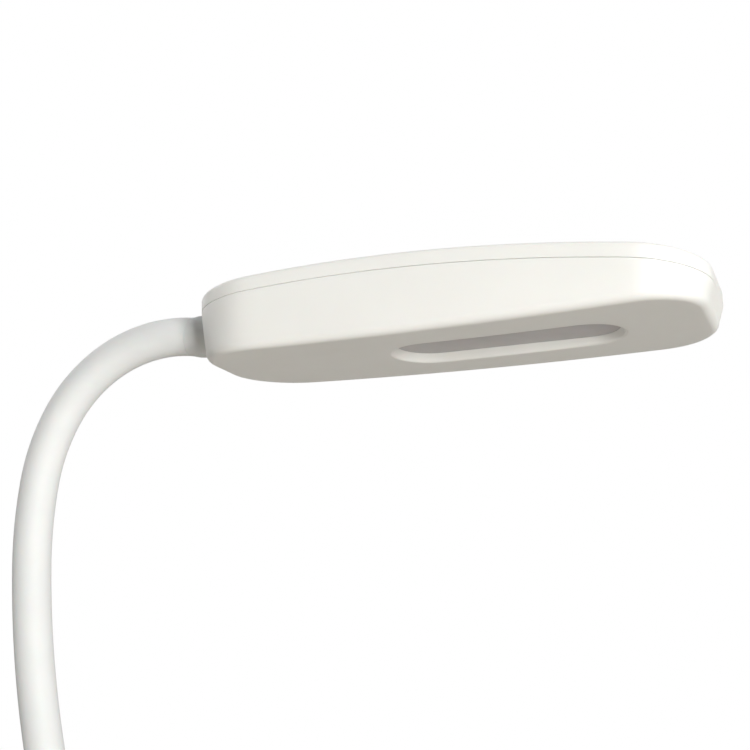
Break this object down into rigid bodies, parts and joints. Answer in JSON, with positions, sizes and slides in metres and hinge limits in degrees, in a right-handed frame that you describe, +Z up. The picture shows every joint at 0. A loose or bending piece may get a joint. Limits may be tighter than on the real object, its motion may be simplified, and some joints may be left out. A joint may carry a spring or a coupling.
{
  "type": "clip-on reading lamp",
  "caption": "Clip-on reading lamp: a long flat LED head on a flexible gooseneck, over a sprung clip with a battery, a charging socket and a button.",
  "frame": {"origin": "centre of the upper jaw pad's gripping face, which rests on the shelf or desk that is clamped", "axes": "+Z up, +X from the clip's handles towards its mouth, which is also the way the lamp head points at rest; the lamp is symmetric about the XZ plane"},
  "size_m": [0.2196, 0.0614, 0.3062],
  "materials": {
    "white_plastic": "satin moulded, fine texture",
    "sleeve_silicone": "matte silicone",
    "pad_silicone": "matte silicone",
    "diffuser": "frosted acrylic, unlit",
    "reflector_white": "glossy white",
    "board_aluminium": "satin",
    "phosphor": "matte yellow",
    "steel": "plain zinc-plated or spring steel",
    "cable_jacket": "soft PVC",
    "battery_wrap": "shrink film",
    "board_green": "solder mask",
    "dark_plastic": "moulded",
    "clear_plastic": "polished clear"
  },
  "bodies": {
    "clip_base": {"base_top_cover": "white_plastic", "base_bottom_tray": "white_plastic", "upper_jaw_pad": "pad_silicone", "case_screw_1": "steel", "case_screw_2": "steel", "case_screw_3": "steel", "case_screw_4": "steel", "battery_cell": "battery_wrap", "control_board": "board_green", "switch_board": "board_green", "board_screw_1": "steel", "board_screw_2": "steel", "usb_c_port": "steel", "tact_switch": "dark_plastic", "charge_led": "clear_plastic", "light_pipe": "clear_plastic", "neck_base_boot": "sleeve_silicone", "base_neck_ferrule": "steel", "neck_washer": "steel", "neck_nut": "steel", "hinge_pin": "steel", "torsion_spring": "steel", "neck_sleeve_0": "sleeve_silicone", "neck_core_0": "steel", "neck_cable_0": "cable_jacket"},
    "neck_link_1": {"neck_sleeve_1": "sleeve_silicone", "neck_core_1": "steel", "neck_cable_1": "cable_jacket"},
    "neck_link_2": {"neck_sleeve_2": "sleeve_silicone", "neck_core_2": "steel", "neck_cable_2": "cable_jacket"},
    "neck_link_3": {"neck_sleeve_3": "sleeve_silicone", "neck_core_3": "steel", "neck_cable_3": "cable_jacket"},
    "neck_link_4": {"neck_sleeve_4": "sleeve_silicone", "neck_core_4": "steel", "neck_cable_4": "cable_jacket"},
    "neck_link_5": {"neck_sleeve_5": "sleeve_silicone", "neck_core_5": "steel", "neck_cable_5": "cable_jacket"},
    "neck_link_6": {"neck_sleeve_6": "sleeve_silicone", "neck_core_6": "steel", "neck_cable_6": "cable_jacket"},
    "lamp_head": {"head_lower_housing": "white_plastic", "head_top_cover": "white_plastic", "light_diffuser": "diffuser", "light_reflector": "reflector_white", "led_board": "board_aluminium", "led_phosphor_strip": "phosphor", "neck_collar": "sleeve_silicone", "head_neck_ferrule": "steel", "neck_clamp_bracket": "white_plastic", "bracket_screw_1": "steel", "bracket_screw_2": "steel", "neck_sleeve_7": "sleeve_silicone", "neck_core_7": "steel", "neck_cable_7": "cable_jacket"},
    "clip_jaw": {"lower_jaw": "white_plastic", "lower_jaw_pad": "pad_silicone"},
    "power_button": {"power_button": "white_plastic"}
  },
  "joints": [
    {"name": "neck_bend_1", "type": "hinge", "parent": "clip_base", "child": "neck_link_1", "pos_m": [-0.04409, 0, 0.0673], "axis": [0, 1, 0], "range_deg": [-25, 25]},
    {"name": "neck_bend_2", "type": "hinge", "parent": "neck_link_1", "child": "neck_link_2", "pos_m": [-0.047, 0, 0.10215], "axis": [0.99, 0, 0.1412], "range_deg": [-25, 25]},
    {"name": "neck_bend_3", "type": "hinge", "parent": "neck_link_2", "child": "neck_link_3", "pos_m": [-0.05389, 0, 0.13645], "axis": [0, 1, 0], "range_deg": [-25, 25]},
    {"name": "neck_bend_4", "type": "hinge", "parent": "neck_link_3", "child": "neck_link_4", "pos_m": [-0.05975, 0, 0.17093], "axis": [0.9943, 0, 0.1066], "range_deg": [-25, 25]},
    {"name": "neck_bend_5", "type": "hinge", "parent": "neck_link_4", "child": "neck_link_5", "pos_m": [-0.06115, 0, 0.20586], "axis": [0, 1, 0], "range_deg": [-25, 25]},
    {"name": "neck_bend_6", "type": "hinge", "parent": "neck_link_5", "child": "neck_link_6", "pos_m": [-0.05278, 0, 0.2395], "axis": [0.869, 0, -0.4948], "range_deg": [-25, 25]},
    {"name": "neck_bend_7", "type": "hinge", "parent": "neck_link_6", "child": "lamp_head", "pos_m": [-0.02575, 0, 0.2602], "axis": [0, 1, 0], "range_deg": [-25, 25]},
    {"name": "jaw_hinge", "type": "hinge", "parent": "clip_base", "child": "clip_jaw", "pos_m": [-0.034, 0, -0.007], "axis": [0, 1, 0], "range_deg": [0, 36], "stiffness_Nm_per_rad": 0.4, "springref_deg": -49.85, "deforming": ["torsion_spring"]},
    {"name": "power_button_press", "type": "slide", "parent": "clip_base", "child": "power_button", "axis": [0, 0, -1], "range_m": [0, 0.0008], "stiffness_N_per_m": 1500, "springref_m": -0.0005}
  ]
}
